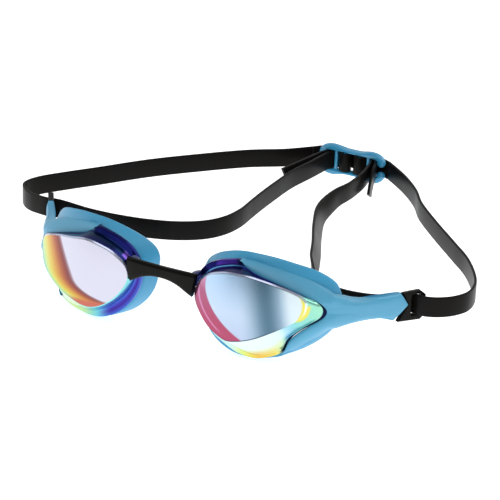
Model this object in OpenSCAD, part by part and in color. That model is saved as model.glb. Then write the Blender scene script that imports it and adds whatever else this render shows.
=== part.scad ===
// Racing swim goggles: two mirrored cups, a nose bridge, and one split strap with a ladder buckle.
// +X is the wearer's left, +Y points back to the strap's buckle, +Z is up.
// The origin is on the middle plane of the nose bridge, at mid-height of the eye cups.

/* [Lens] */
// Wall thickness of the lens
lens_wall = 1.5; // [1.2:0.1:2]
// Thickness of the lens rim that the gasket holds
rim_t = 1.5; // [1:0.1:2]
// Depth of the step between the lens wall and its ledge
ledge_step = 0.8; // [0.4:0.1:1.2]
// Radius of the arc of the lens face across the eye, as a bow per square millimetre
face_bow = 0.0168; // [0.010:0.0002:0.020]

/* [Gasket] */
// Width of the soft seal that rests on the face
seal_w = 5; // [3.5:0.1:6]
// Roll of the soft seal behind its widest outline
seal_roll = 1.6; // [1:0.1:2.2]

/* [Frame] */
// Thickness of the fork round the lens
fork_t = 2; // [1.6:0.1:2.6]
// Thickness of the temple arm
arm_t = 3; // [2.4:0.1:3.6]

/* [Strap clip] */
// Height of the clip
clip_h = 11.8; // [11.6:0.1:13]
// Thickness of the clip
clip_t = 2.4; // [2:0.1:2.6]
// Width of the slot along the strap
slot_w = 4.4; // [4.2:0.1:5]
// Width of the bar that carries the strap
clip_bar = 2; // [1.6:0.1:2.6]

/* [Strap] */
// Width of the strap band
strap_w = 8.4; // [7.6:0.1:8.8]
// Thickness of the strap band
strap_t = 1.2; // [1:0.1:1.2]

/* [Buckle] */
// Length of the buckle across the back of the head
buckle_l = 33; // [32.6:0.1:35]
// Height of the buckle
buckle_h = 12.6; // [12.4:0.1:15]
// Depth of the buckle's rails
rail_d = 3.2; // [2.8:0.1:3.6]
// Height of each rail
rail_h = 1.9; // [1.6:0.05:1.9]
// Radius of the buckle's bars
bar_r = 1; // [0.8:0.05:1.1]
// Slit in the open end bars
end_slit = 1.8; // [1.4:0.1:2.2]

/* [Bridge] */
// Height of the bridge at its waist
bridge_h = 4.4; // [3.6:0.1:5.4]
// Depth of the bridge
bridge_d = 3; // [2.4:0.1:3.4]

/* [Hidden] */
$fn = 32;
gap = 0.15;
curve_steps = 3;
route_steps = 4;
strap_z = -4.2;
cup_x = 36;
cup_z = 2;

// Outlines seen from the front, as [x, z], from the nose over the brow to the temple and back.
face_outline = [
    [14.6, 1.5], [15.7, 6], [18.6, 9.6], [22.4, 12.5], [27.5, 14.5], [31.5, 15.3], [35, 15.2],
    [39.5, 14.3], [46, 12.8], [52, 10.6], [56.5, 8.2], [58.9, 5.8], [59.7, 3.6], [59, 0.6],
    [56.2, -2.3], [52, -4.5], [48.5, -6.4], [44.5, -8.4], [41, -9.7], [37.5, -10.6], [33, -11.7],
    [28.5, -12], [23.8, -10.6], [19.2, -7.3], [16, -2.8]];
rim_outline = [
    [12.3, 0.5], [13, 6.5], [16.5, 12], [21.5, 15.2], [27, 17], [31.8, 17.8], [34, 15.2],
    [38, 13], [45, 10.7], [52, 8.2], [58, 5.6], [62.4, 3.4], [64.4, 0.6], [63.2, -2.2],
    [59, -5.3], [55, -8.6], [52.2, -12], [50.6, -16.6], [46, -19.4], [40, -21], [33.5, -21.2],
    [27.5, -19.8], [21.5, -16.4], [16.8, -11.6], [13.6, -6]];
// How far the ledge's inner edge lies from the face outline to the rim outline
ledge_share = [0.2, 0.15, 0.12, 0.1, 0.1, 0.12, 0.3, 0.5, 0.6, 0.6, 0.6, 0.6, 0.6, 0.7, 0.8,
    0.85, 0.85, 0.85, 0.85, 0.8, 0.7, 0.5, 0.35, 0.25, 0.2];
holder_outline = [
    [12.3, 0.5], [13, 6.5], [16.5, 12], [21.5, 15.2], [27, 17], [32, 17.6], [37.5, 17.2],
    [43, 15.2], [49, 12.6], [54.5, 10], [59.5, 7], [63.2, 4], [65.2, 0], [65.2, -4.4], [63.6, -9.2],
    [60.6, -13], [56.6, -16.2], [51.6, -19], [46, -20.8], [40, -21.9], [33.5, -22], [27.5, -20.6],
    [21.3, -17.2], [16.4, -12], [13.4, -6]];
seal_outline = [
    [11, -0.5], [11.4, 5.2], [13.8, 10.6], [18.4, 14.8], [24.6, 18], [31, 19.8], [38, 19.9],
    [44, 18.6], [50, 16.4], [55.5, 13.8], [59.8, 10.8], [62.8, 7], [64.6, 2], [65, -3], [63.6, -8],
    [60.5, -12], [56, -15.5], [50.5, -18.3], [45, -20], [39, -21], [33, -21.2], [26.5, -20.2],
    [20.2, -17.3], [15, -12.5], [12, -6.8]];
// The fork runs between these stations of the rim outline; its outer edge, as [x, y, z]
fork_first = 5;
fork_outer = [
    [32.3, 5.4, 18.4], [37, 7.6, 17.2], [43, 9.8, 15.4], [49.5, 12.2, 13], [56, 15, 10.4],
    [61.5, 18.4, 7.6], [66.4, 21, 0], [66, 20, -5.6], [64.2, 18.6, -9],
    [61.2, 16.4, -12.2], [57.4, 13.8, -15.2], [53.6, 11.2, -17.4], [51.2, 8.6, -18.2]];
// The temple arm's middle line with its top and bottom, as [x, y, top z, bottom z]
arm_line = [
    [63.2, 16.5, 7, -8.6], [65.8, 22, 5.6, -8.9], [69.2, 28, 3.7, -8.7], [73, 34, 2.2, -8.8],
    [77, 39.5, 1.5, -9.2], [81, 45.1, 1.5, -9.6], [84, 49.6, 1.6, -9.8]];
// How deep the arm reaches behind its middle line, as [station, depth]
arm_inside_at = [[0, 0.2], [1, 0.9], [2, arm_t / 2], [6, arm_t / 2]];

// The clip's slot: its middle, and the direction of the clip from the arm outwards
slot_x = 84.6;
slot_y = 50.6;
slot_z = -4.6;
clip_turn = 56;
clip_apex = -3.4;
clip_root_top = -6.6;
clip_root_low = -9.4;
clip_end = slot_w / 2 + clip_bar;

// Strap routes in plan, from the buckle in along the inner strand, through the slot, and back out
left_route = [
    [6.2, 169.5], [8.8, 157], [9.8, 143], [9, 130], [11.5, 112], [19, 94], [27.5, 77], [33, 65],
    [38.5, 53], [46, 43.5], [57, 38.8], [68, 39.6], [76, 43.5], [80.5, 49], [82.8, 50.6],
    [84.6, 50.6], [86.6, 50.1], [90, 50.2], [94.6, 52.6], [98.8, 57.2], [101.3, 64], [100, 73],
    [95, 83], [86.5, 95], [76, 106], [60, 122.5], [46, 138], [37, 151], [26, 163], [13.5, 173.8]];
right_route = [
    [-15.2, 169.5], [-15.6, 156], [-16.5, 140], [-17, 125], [-16.5, 112], [-15.5, 100], [-14.5, 88],
    [-16, 77], [-21, 68], [-30, 61], [-41, 56.6], [-53, 54], [-65, 52.8], [-75, 52.2],
    [-80, 51.6], [-82.8, 51], [-84.6, 50.6], [-86.6, 50.2], [-90.5, 51], [-96.5, 53.2],
    [-102, 57], [-106, 63], [-104.5, 71.5], [-98, 82.5], [-89, 96], [-76, 116], [-61, 134.5],
    [-46, 151], [-33, 161.5], [-24, 171.4]];
// Stations where each strap loop ends, counted along its route
left_cut_in = 6;
left_cut_out = 22;
right_cut_in = 6;
right_cut_out = 23;

// The buckle's middle and the places of its bars along it
buckle_x = -4.5;
buckle_y = 173;
bar_in = 3.5;
bar_mid = 8;
bar_end = 15.3;
layer = bar_r + strap_t / 2 + 0.1;
outer_layer = layer + strap_t + 0.2;
back_layer = outer_layer + strap_t + 0.2;
// The free tails, from the buckle to their cut ends
left_tail = [[8.8, 168.6], [12.8, 155]];
right_tail = [[-18, 168.6], [-22.5, 139.5]];
tail_parts = 8;
seam = 0.25;
// A recess in the gasket behind the fork's tip, as its lowest corner and its size
tip_recess = [[60, 14, 2], [4.3, 2.5, 4.5]];

// ---- Curves and lofts ----

// Catmull-Rom blend of four points at t
function crom(a, b, c, d, t) =
    0.5 * (2 * b + (c - a) * t + (2 * a - 5 * b + 4 * c - d) * t * t
    + (3 * b - a - 3 * c + d) * t * t * t);

// A closed smooth curve through the points P, with k steps between two of them
function closed_curve(P, k) = [
    for (i = [0:len(P) - 1], j = [0:k - 1])
        let (n = len(P))
        crom(P[(i + n - 1) % n], P[i], P[(i + 1) % n], P[(i + 2) % n], j / k)];

// An open smooth curve through the points P, from station a to station b
function open_curve(P, k, a, b) = [
    for (i = [a * k:b * k])
        let (n = len(P) - 1, s = min(floor(i / k), n - 1), t = i / k - s)
        crom(P[max(s - 1, 0)], P[s], P[s + 1], P[min(s + 2, n)], t)];

// Height of the lens face, of the rim and of the seal along Y
function face_y(p) = -5.5 + face_bow * pow(p[0] - cup_x, 2) + 0.114 * (p[0] - cup_x)
    + 0.183 * (p[1] - cup_z) + 0.002 * pow(p[1] - cup_z, 2);
function rim_y(p) = let (u = (p[0] - 37) / 20) 5.2 + 3.2 * u + 2.7 * u * u + 0.1 * min(p[1], 0);
function seal_y(p) = 9.6 + 0.0148 * pow(p[0] - 31, 2);

// A ring moved towards the middle of the cup by d millimetres in the front view
function inset(P, d) = [for (p = P) let (v = p - [cup_x, 0], r = norm(v)) p - v * d / r];

// Solid through rings of equal length, closed by a fan at each end
module loft(rings) {
    n = len(rings[0]);
    m = len(rings);
    pts = concat([for (r = rings) for (p = r) p], [mean(rings[0]), mean(rings[m - 1])]);
    sides = [for (i = [0:m - 2], j = [0:n - 1])
        let (k = (j + 1) % n) each [
            [i * n + j, i * n + k, (i + 1) * n + k],
            [i * n + j, (i + 1) * n + k, (i + 1) * n + j]]];
    caps = [for (j = [0:n - 1]) let (k = (j + 1) % n) each [
        [m * n, k, j],
        [m * n + 1, (m - 1) * n + j, (m - 1) * n + k]]];
    polyhedron(pts, concat(sides, caps));
}

// Solid through rings of equal length, where the last ring joins the first
module ring_loft(rings) {
    n = len(rings[0]);
    m = len(rings);
    polyhedron([for (r = rings) for (p = r) p],
        [for (i = [0:m - 1], j = [0:n - 1])
            let (k = (j + 1) % n, q = (i + 1) % m) each [
                [i * n + j, i * n + k, q * n + k],
                [i * n + j, q * n + k, q * n + j]]]);
}

// A list from its last entry to its first, which turns a loft's faces the other way
function backwards(v) = [for (i = [len(v) - 1:-1:0]) v[i]];

// The point a moved by d towards the point b
function towards(a, b, d) = a + (b - a) * d / norm(b - a);

function mean(P) = P * 0 == [] ? [0, 0, 0] : [for (a = [0:2]) sum([for (p = P) p[a]]) / len(P)];
function sum(v, i = 0) = i == len(v) ? 0 : v[i] + sum(v, i + 1);

// Band of the strap: an upright strip swept along a plan route
module band(route, w = strap_w, t = strap_t) {
    n = len(route) - 1;
    loft([for (i = [0:n])
        let (d = route[min(i + 1, n)] - route[max(i - 1, 0)], u = [d[1], -d[0]] / norm(d) * t / 2)
        [[route[i][0] - u[0], route[i][1] - u[1], strap_z - w / 2],
         [route[i][0] + u[0], route[i][1] + u[1], strap_z - w / 2],
         [route[i][0] + u[0], route[i][1] + u[1], strap_z + w / 2],
         [route[i][0] - u[0], route[i][1] - u[1], strap_z + w / 2]]]);
}

module mirrored() mirror([1, 0, 0]) children();

// ---- Cup ----

// One ring of the lens face, shrunk to a share s of the outline and set back by d
function face_ring(P, s, d) = [
    for (p = P) let (q = [cup_x, cup_z] + (p - [cup_x, cup_z]) * s) [q[0], face_y(q) + d, q[1]]];

module lens() {
    face = closed_curve(face_outline, curve_steps);
    rim = closed_curve(rim_outline, curve_steps);
    ledge = closed_curve([for (i = [0:len(face_outline) - 1])
        face_outline[i] + (rim_outline[i] - face_outline[i]) * ledge_share[i]], curve_steps);
    inner_face = inset(face, lens_wall);
    inner_ledge = inset(ledge, lens_wall);
    inner_rim = inset(rim, 2.2);
    color("lightsteelblue") loft(backwards(concat(
        [for (s = [0.25, 0.5, 0.75, 0.93]) face_ring(face, s, 0)],
        [face_ring(face, 1, 0.5)],
        [[for (p = ledge) [p[0], rim_y(p) - ledge_step - 0.6, p[1]]]],
        [[for (p = inset(ledge, -0.3)) [p[0], rim_y(p) - ledge_step, p[1]]]],
        [[for (p = inset(rim, 0.3)) [p[0], rim_y(p) - 0.3, p[1]]]],
        [[for (p = rim) [p[0], rim_y(p) + 0.1, p[1]]]],
        [[for (p = rim) [p[0], rim_y(p) + rim_t, p[1]]]],
        [[for (p = inner_rim) [p[0], rim_y(p) + rim_t, p[1]]]],
        [[for (p = inner_ledge) [p[0], rim_y(p) + 0.7, p[1]]]],
        [face_ring(inner_face, 1, lens_wall + 0.6)],
        [for (s = [0.75, 0.5, 0.25]) face_ring(inner_face, s, lens_wall)])));
}

module gasket_ring() {
    front = closed_curve(holder_outline, curve_steps);
    seal = closed_curve(seal_outline, curve_steps);
    // The wall flares late behind the fork and evenly elsewhere
    middle = [for (i = [0:len(front) - 1])
        let (s = min(max(0.6 - (front[i][0] - 26) * 0.02, 0.2), 0.6)) front[i] * (1 - s) + seal[i] * s];
    ring_loft(backwards([
        [for (p = inset(front, 3.2)) [p[0], rim_y(p) + rim_t + gap, p[1]]],
        [for (p = inset(front, 0.2)) [p[0], rim_y(p) + rim_t + gap, p[1]]],
        [for (i = [0:len(front) - 1]) let (p = middle[i])
            [p[0], (rim_y(front[i]) + rim_t) * 0.4 + seal_y(seal[i]) * 0.6, p[1]]],
        [for (p = seal) [p[0], seal_y(p), p[1]]],
        [for (p = inset(seal, 0.8)) [p[0], seal_y(p) + seal_roll * 0.75, p[1]]],
        [for (p = inset(seal, 2.2)) [p[0], seal_y(p) + seal_roll, p[1]]],
        [for (p = inset(seal, seal_w)) [p[0], seal_y(p) + seal_roll * 0.8, p[1]]],
        [for (p = inset(seal, seal_w)) [p[0], seal_y(p) - 0.4, p[1]]],
        [for (p = inset(seal, 2.6)) [p[0], seal_y(p) - 0.6, p[1]]]]));
}

// The gasket is recessed where the fork and the arm lie in it
module gasket() {
    color("steelblue") difference() {
        gasket_ring();
        fork();
        arm();
        translate(tip_recess[0]) cube(tip_recess[1]);
    }
}

// The fork's inner edge, on the lens rim with a small gap, as [x, y, z]
function fork_inner() = [for (i = [0:len(fork_outer) - 1])
    let (p = rim_outline[fork_first + i], v = p - [cup_x, 0], q = p + v * gap / norm(v))
    [q[0], rim_y(q) - 0.4, q[1]]];

module fork() {
    n = len(fork_outer) - 1;
    k = curve_steps;
    inner = open_curve(fork_inner(), k, 0, n);
    outer = open_curve(fork_outer, k, 0, n);
    crown = [0, -0.9, 0];
    loft([for (i = [0:n * k])
        let (a = inner[i], b = outer[i], back = [0, fork_t, 0])
        [a, a * 0.67 + b * 0.33 + crown, a * 0.33 + b * 0.67 + crown, b,
         b + back * 0.6, a * 0.5 + b * 0.5 + back, a + back]]);
}

module arm() {
    line = open_curve(arm_line, curve_steps, 0, len(arm_line) - 1);
    n = len(line) - 1;
    soft = 1.2;
    loft([for (i = [0:n])
        let (d = line[min(i + 1, n)] - line[max(i - 1, 0)], m = norm([d[0], d[1]]),
            u = [d[1], -d[0]] / m * arm_t / 2, v = u / arm_t * 2 * lookup(i / curve_steps, arm_inside_at),
            p = line[i])
        [[p[0] - v[0], p[1] - v[1], p[3] + soft], [p[0], p[1], p[3]],
         [p[0] + u[0], p[1] + u[1], p[3] + soft], [p[0] + u[0], p[1] + u[1], p[2] - soft],
         [p[0], p[1], p[2]], [p[0] - v[0], p[1] - v[1], p[2] - soft]]]);
}

// Places children in the clip's own frame: X along the clip, Y inwards, Z up
module at_slot() translate([slot_x, slot_y, slot_z]) rotate([0, 0, clip_turn]) children();

module clip_plate(outline, t) rotate([90, 0, 0]) translate([0, 0, -t / 2]) linear_extrude(t) polygon(outline);

module frame() {
    color("skyblue") {
        fork();
        difference() {
            arm();
            at_slot() clip_plate([[clip_apex - gap, 1], [clip_root_top - gap, 8], [20, 8], [20, -8],
                [clip_root_low - gap, -8]], 20);
        }
    }
}

module strap_clip() {
    h = clip_h / 2;
    color([0.1, 0.1, 0.1]) at_slot() difference() {
        clip_plate([[clip_apex, 1], [clip_root_top + 0.8, h], [clip_end - 2.4, h],
            [clip_end, h - 2], [clip_end, 2 - h], [clip_end - 2.4, -h], [clip_root_low + 1.6, -h]],
            clip_t);
        cube([slot_w, clip_t + 2, strap_w + 1.2], center = true);
    }
}

// ---- Bridge ----

// Half of the bridge, as [x, y, middle z, height, how far the top reaches past the bottom],
// from the middle to the end on the nose wall
bridge_line = [
    [0, -0.4, 6.8, bridge_h, 0], [4, -0.5, 6.6, bridge_h + 0.2, 0], [8, -0.6, 5.9, bridge_h + 1.1, 0.2],
    [11.4, -0.5, 4.9, bridge_h + 2.8, 0.8], [13.8, -0.1, 4.1, bridge_h + 4, 1.6]];

module nose_bridge() {
    half = open_curve(bridge_line, curve_steps, 0, len(bridge_line) - 1);
    n = len(half) - 1;
    whole = concat([for (i = [n:-1:1])
        [-half[i][0], half[i][1], half[i][2], half[i][3], -half[i][4]]], half);
    d = bridge_d / 2;
    color([0.12, 0.12, 0.12]) loft(backwards([for (p = whole)
        let (top = p[0] + p[4], low = p[2] - p[3] / 2, high = p[2] + p[3] / 2)
        [[p[0], p[1] + d, low], [top, p[1] + d, high],
         [top, p[1] - d + 0.6, high], [top, p[1] - d, high - 0.6],
         [p[0], p[1] - d, low + 0.6], [p[0], p[1] - d + 0.6, low]]]));
}

// ---- Buckle and strap ----

module buckle_bar(x, slit) {
    at = buckle_h / 2 - 1;
    difference() {
        translate([x, 0, -at]) cylinder(r = bar_r, h = 2 * at);
        if (slit > 0) cube([60, 10, slit], center = true);
    }
}

module buckle_rail(side) {
    at = side * (buckle_h / 2 - rail_h / 2);
    translate([0, 0, at]) intersection() {
        cube([buckle_l, rail_d, rail_h], center = true);
        rotate([0, 90, 0]) cylinder(r = rail_d / 2 + 0.15, h = buckle_l + 1, center = true);
    }
}

module buckle() {
    color("deepskyblue") translate([buckle_x, buckle_y, strap_z]) {
        for (side = [-1, 1]) buckle_rail(side);
        for (x = [-bar_mid, -bar_in, bar_in, bar_mid]) buckle_bar(x, 0);
        for (x = [-bar_end, bar_end]) buckle_bar(x, end_slit);
    }
}

module left_band(a, b) color("dimgray") band(open_curve(left_route, route_steps, a, b));
module right_band(a, b) color("dimgray") band(open_curve(right_route, route_steps, a, b));

module left_strap_loop() left_band(left_cut_in, left_cut_out);
module right_strap_loop() right_band(right_cut_in, right_cut_out);
module left_inner_strand() left_band(0, left_cut_in);
module right_inner_strand() right_band(0, right_cut_in);
module left_outer_strand() left_band(left_cut_out, len(left_route) - 1);
module right_outer_strand() right_band(right_cut_out, len(right_route) - 1);

// The unbroken part of the strap, behind every bar of the buckle
module strap_back_pass() {
    last = left_route[len(left_route) - 1];
    first = right_route[len(right_route) - 1];
    at = buckle_y + back_layer;
    before = [buckle_x - 16.2, at - 2.2];
    after = [buckle_x + 11, at - 0.4];
    color("dimgray") band(open_curve([towards(first, before, seam), before, [buckle_x - 11, at - 0.3],
        [buckle_x - 5, at], [buckle_x + 5, at], after, towards(last, after, seam)], route_steps, 0, 6));
}

// The end of one inner strand: in beside the end bar, behind one bar, over the front of the next,
// round it, and out again behind both as the start of the free tail
module strap_wrap(side, start, tail) {
    c = [buckle_x, buckle_y];
    r = layer + 0.05;
    first_turn = [for (a = [-20:45:160]) c + [side * (bar_mid + r * cos(a)), r * sin(a)]];
    second_turn = [for (a = [-20:-50:-270]) c + [side * (bar_in + r * cos(a)), r * sin(a)]];
    way_out = [for (p = [[bar_mid, 3.2], [bar_mid + 2.3, 2.3], [bar_mid + 3.4, 0], [bar_mid + 4.3, -2.2]])
        c + [side * p[0], p[1]]];
    points = concat([towards(start, first_turn[0], seam)], first_turn, second_turn, way_out,
        [towards(tail, way_out[3], seam)]);
    color("dimgray") band(open_curve(points, 2, 0, len(points) - 1));
}

module left_strap_wrap() strap_wrap(1, left_route[0], left_tail[0]);
module right_strap_wrap() strap_wrap(-1, right_route[0], right_tail[0]);

// A free tail, straight along the way it feeds
module tail_band(ends) color("dimgray") band([for (i = [0:tail_parts])
    ends[0] + (ends[1] - ends[0]) * i / tail_parts]);

module left_strap_tail() tail_band(left_tail);
module right_strap_tail() tail_band(right_tail);

nose_bridge();
lens();  // left_lens
mirrored() lens();  // right_lens
gasket();  // left_gasket
mirrored() gasket();  // right_gasket
frame();  // left_frame
mirrored() frame();  // right_frame
strap_clip();  // left_strap_clip
mirrored() strap_clip();  // right_strap_clip
buckle();
left_strap_loop();
right_strap_loop();
left_outer_strand();
right_outer_strand();
left_inner_strand();
right_inner_strand();
strap_back_pass();
left_strap_wrap();
right_strap_wrap();
left_strap_tail();
right_strap_tail();
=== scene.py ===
"""Racing swim goggles: mirrored lenses, soft gaskets, forked temple arms, and a split strap with a ladder
buckle."""

import bpy
import numpy as np
from bpy.props import FloatProperty, FloatVectorProperty, PointerProperty
from mathutils import Matrix, Vector


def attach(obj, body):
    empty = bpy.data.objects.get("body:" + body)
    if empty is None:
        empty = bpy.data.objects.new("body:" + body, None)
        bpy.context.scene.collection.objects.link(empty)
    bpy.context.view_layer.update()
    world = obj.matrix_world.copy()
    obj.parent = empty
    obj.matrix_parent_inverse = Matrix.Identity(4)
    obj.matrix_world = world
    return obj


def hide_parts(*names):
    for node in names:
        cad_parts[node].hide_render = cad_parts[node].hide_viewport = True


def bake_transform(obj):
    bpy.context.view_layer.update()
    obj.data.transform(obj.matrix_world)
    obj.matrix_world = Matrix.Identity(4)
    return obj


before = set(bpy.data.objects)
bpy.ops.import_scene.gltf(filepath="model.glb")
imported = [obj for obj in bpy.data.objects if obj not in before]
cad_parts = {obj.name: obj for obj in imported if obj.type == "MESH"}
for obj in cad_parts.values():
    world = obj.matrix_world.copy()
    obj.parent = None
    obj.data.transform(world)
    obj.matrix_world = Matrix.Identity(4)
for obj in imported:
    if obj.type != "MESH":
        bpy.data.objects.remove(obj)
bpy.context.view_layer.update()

bl_info = {
    "name": "Swim goggles",
    "version": (1, 0, 0),
    "blender": (4, 5, 0),
    "location": "View3D > Sidebar > Goggles",
    "description": "Builds the visible pieces of a pair of racing swim goggles",
    "category": "Object",
}

MM = 0.001
SIDES = (("left", 1), ("right", -1))
# Folds sharper than this many degrees stay sharp on a band or a tube
BAND_CREASE = 60

# Outlines of one cup in the front view, as (x, z) in millimetres, from the nose over the brow to the temple.
FACE_OUTLINE = (
    (14.6, 1.5), (15.7, 6), (18.6, 9.6), (22.4, 12.5), (27.5, 14.5), (31.5, 15.3), (35, 15.2),
    (39.5, 14.3), (46, 12.8), (52, 10.6), (56.5, 8.2), (58.9, 5.8), (59.7, 3.6), (59, 0.6),
    (56.2, -2.3), (52, -4.5), (48.5, -6.4), (44.5, -8.4), (41, -9.7), (37.5, -10.6), (33, -11.7),
    (28.5, -12), (23.8, -10.6), (19.2, -7.3), (16, -2.8))
RIM_OUTLINE = (
    (12.3, 0.5), (13, 6.5), (16.5, 12), (21.5, 15.2), (27, 17), (31.8, 17.8), (34, 15.2),
    (38, 13), (45, 10.7), (52, 8.2), (58, 5.6), (62.4, 3.4), (64.4, 0.6), (63.2, -2.2),
    (59, -5.3), (55, -8.6), (52.2, -12), (50.6, -16.6), (46, -19.4), (40, -21), (33.5, -21.2),
    (27.5, -19.8), (21.5, -16.4), (16.8, -11.6), (13.6, -6))
LEDGE_SHARE = (
    0.2, 0.15, 0.12, 0.1, 0.1, 0.12, 0.45, 0.85, 0.92, 0.92, 0.85, 0.65, 0.6, 0.7, 0.8,
    0.85, 0.85, 0.85, 0.85, 0.8, 0.7, 0.5, 0.35, 0.25, 0.2)
HOLDER_OUTLINE = (
    (12.3, 0.5), (13, 6.5), (16.5, 12), (21.5, 15.2), (27, 17), (32, 17.6), (37.5, 17.2),
    (43, 15.2), (49, 12.6), (54.5, 10), (59.5, 7), (63.2, 4), (65.2, 0), (65.2, -4.4), (63.6, -9.2),
    (60.6, -13), (56.6, -16.2), (51.6, -19), (46, -20.8), (40, -21.9), (33.5, -22), (27.5, -20.6),
    (21.3, -17.2), (16.4, -12), (13.4, -6))
SEAL_OUTLINE = (
    (10.6, -0.5), (10.2, 5.2), (12.4, 10.4), (18, 15.1), (24.8, 18.3), (31.2, 19.8), (38, 19.8),
    (44, 19), (50.2, 17.1), (55.9, 14.7), (60.3, 11.6), (63.4, 7.8), (64.9, 2.4), (65.2, -3), (64, -8.4),
    (61.2, -12.8), (57, -16.6), (51.2, -19.6), (45, -21.4), (39, -22.1), (33, -22.1), (26.2, -21.1),
    (19.4, -18.3), (14.2, -13.2), (11.4, -7))
CUP_MIDDLE = (36, 0)
FACE_MIDDLE = (36, 2)
# The right cup hangs tipped about a crosswise line at this y and z, which lifts its strap slot by SLOT_RISE
RIGHT_TIP = np.radians(3)
TIP_AT = (15, 0)
SLOT_RISE = 1.5
# How far the inner half of the left strap leans, and how far the right fork's lower end is raised
LEFT_LEAN = np.radians(24)
RIGHT_FORK_RISE = 2.4

# The lens: width of the rounded edge of its face, its wall, and how deep its ledge lies in front of the rim
FACE_EDGE = 0.62
LENS_WALL = 1.5
LEDGE_FRONT = 1.3
# The gasket: how far it reaches in from the seal's outline, and how far its front edge hides behind the fork
SEAL_WIDTH = 5
HIDE_IN, HIDE_BACK = 1.1, 1.9
# The lug over the bridge: its middle, half its sides, and how square it is
LUG_MIDDLE = (13.6, 3.0, 8.4)
LUG_HALF = (1.9, 1.9, 1.1)
LUG_TILT = 0.35
LUG_SQUARE = 0.7

# The outer edge of the fork, over the lens and under it, as (x, y, z)
FORK_FIRST = 5
FORK_OVER = (
    (32.0, 6.0, 17.5), (37, 7.8, 17.0), (43, 9.8, 15.6), (49.5, 12.3, 13.6), (56, 15.1, 11), (62.3, 17.7, 8))
FORK_UNDER = (
    (64.0, 18.6, -8.4), (60.8, 16.3, -11.4), (57.0, 13.7, -14.2), (53.4, 11.0, -16.6), (51.2, 8.6, -17.3))
# The temple arm's middle line, as (x, y, top z, bottom z)
ARM_LINE = (
    (63.2, 16.5, 7, -8.4), (65.8, 22, 5.2, -7.9), (69.2, 28, 2.8, -7.4), (73, 34, 1.3, -7.4),
    (77, 39.5, 0.7, -7.9), (81, 45.1, 1.0, -8.8), (84, 49.6, 1.4, -9.6))
ARM_THICK = 3.0
FORK_THICK = 2.0
# Where the arm grows out of the fork, from x to x
ARM_START, ARM_FULL = 62.5, 69
GAP = 0.15

# The clip's slot and its outline, along the clip and up
SLOT = (84.6, 50.6, -4.6)
CLIP_TURN = np.radians(56)
CLIP_OUTLINE = (
    (-3.4, 1), (-5.8, 5.8), (1.9, 5.9), (4.3, 3.9), (4.3, -4.5), (2.2, -6.4), (-7.8, -6.0))
SLOT_OUTLINE = ((-2.1, 4.8), (2.1, 4.8), (2.1, -4.1), (-2.1, -4.1))
CLIP_THICK = 2.4
V_TOP, V_APEX, V_LOW = (-6.75, 6.1), (-3.55, 1), (-9.55, -4.9)

# The strap's routes in plan, from the buckle through the clip and back
STRAP_Z = -4.2
ROUTES = {
    "left": (
        (6.2, 169.5), (8.8, 157), (9.8, 143), (9, 130), (11.5, 112), (19, 94), (27.5, 77), (33, 65),
        (38.5, 53), (46, 43.5), (57, 38.8), (68, 39.6), (76, 43.5), (80.5, 49), (82.8, 50.6),
        (84.6, 50.6), (86.6, 50.1), (90, 50.2), (94.6, 52.6), (98.8, 57.2), (101.3, 64), (100, 73),
        (95, 83), (86.5, 95), (76, 106), (60, 122.5), (46, 138), (37, 151), (26, 163), (13.5, 173.8)),
    "right": (
        (-15.2, 169.5), (-16.1, 156), (-17.6, 140), (-17.2, 125), (-16.5, 112), (-15.5, 100), (-14.5, 88),
        (-16, 77), (-21, 68), (-30, 61), (-41, 56.6), (-53, 54), (-65, 52.8), (-75, 52.2),
        (-80, 51.6), (-82.8, 51), (-84.6, 50.6), (-86.6, 50.2), (-90.5, 51), (-96.5, 53.2),
        (-102, 57), (-106, 63), (-104.5, 71.5), (-98, 82.5), (-89, 96), (-76, 116), (-61, 134.5),
        (-46, 151), (-33, 161.5), (-24, 171.4))}
# The stations of a route between which its loop lies
CUTS = {"left": (6, 22), "right": (6, 23)}
STRAP_STEPS = 14
TAILS = {"left": ((8.8, 168.6), (12.8, 155)), "right": ((-18, 168.6), (-22.5, 139.5))}
# How far each tail bends down by its end, in degrees, and how its end is cut, as a slope
TAIL_BEND = {"left": 62, "right": 0}
TAIL_SLOPE = {"left": 0, "right": 0.6}

# The buckle's middle and the places of its bars along it
BUCKLE = (-4.5, 173.0, STRAP_Z)
BAR_IN, BAR_MID, BAR_END = 3.5, 8.0, 14.3
# Half sizes of the knobs at the rails' ends, how far they stand above the middle, and of the bars
KNOB = (2.1, 1.7, 1.9)
KNOB_UP = 3.0
BAR_HALF = (0.85, 0.95)
BAR_REACH = 5
# Radius of the strap's middle line round a bar, and how far its unbroken part lies behind the bars
TURN_R = 1.75
BACK_LAYER = 4.5
SEAM = 0.25

# Half of the bridge, as (x, y, middle z, height, lean of the top)
BRIDGE_LINE = (
    (0, -0.4, 7.0, 4.8, 0), (4, -0.5, 6.9, 5.2, 0), (8, -0.6, 6.4, 6.5, 0.2),
    (11.4, -0.5, 5.5, 8.4, 0.8), (13.8, -0.1, 4.7, 9.8, 1.6))
BRIDGE_DEPTH = 3.0
BRIDGE_SQUARE = 0.62

# The stage, in metres and watts
FLOOR_SIZE, FLOOR_Z, FLOOR_GLOW = 8, -0.0235, 0.75
LIGHT_TARGET = (0.0, 0.06, 0.0)
LIGHT_SIZE = 0.7
LIGHTS = (
    ("key", (0.25, -0.45, 0.75), 2.5), ("rim", (0.55, 0.75, 0.55), 2.5), ("fill", (-0.7, -0.1, 0.35), 1))
SKY_FRONT, SKY_BACK = 0.25, 0.65
# The camera's azimuth, elevation and roll in degrees, what it looks at, how far away it stands, and its lens
CAMERA_TURN = (28.2, 23.1, 2.3)
CAMERA_TARGET = (0.0134, 0.0461, 0.0028)
CAMERA_DISTANCE = 0.9452
CAMERA_LENS, CAMERA_SENSOR = 170.3, 36


# ---- Curves and surfaces ----

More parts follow.
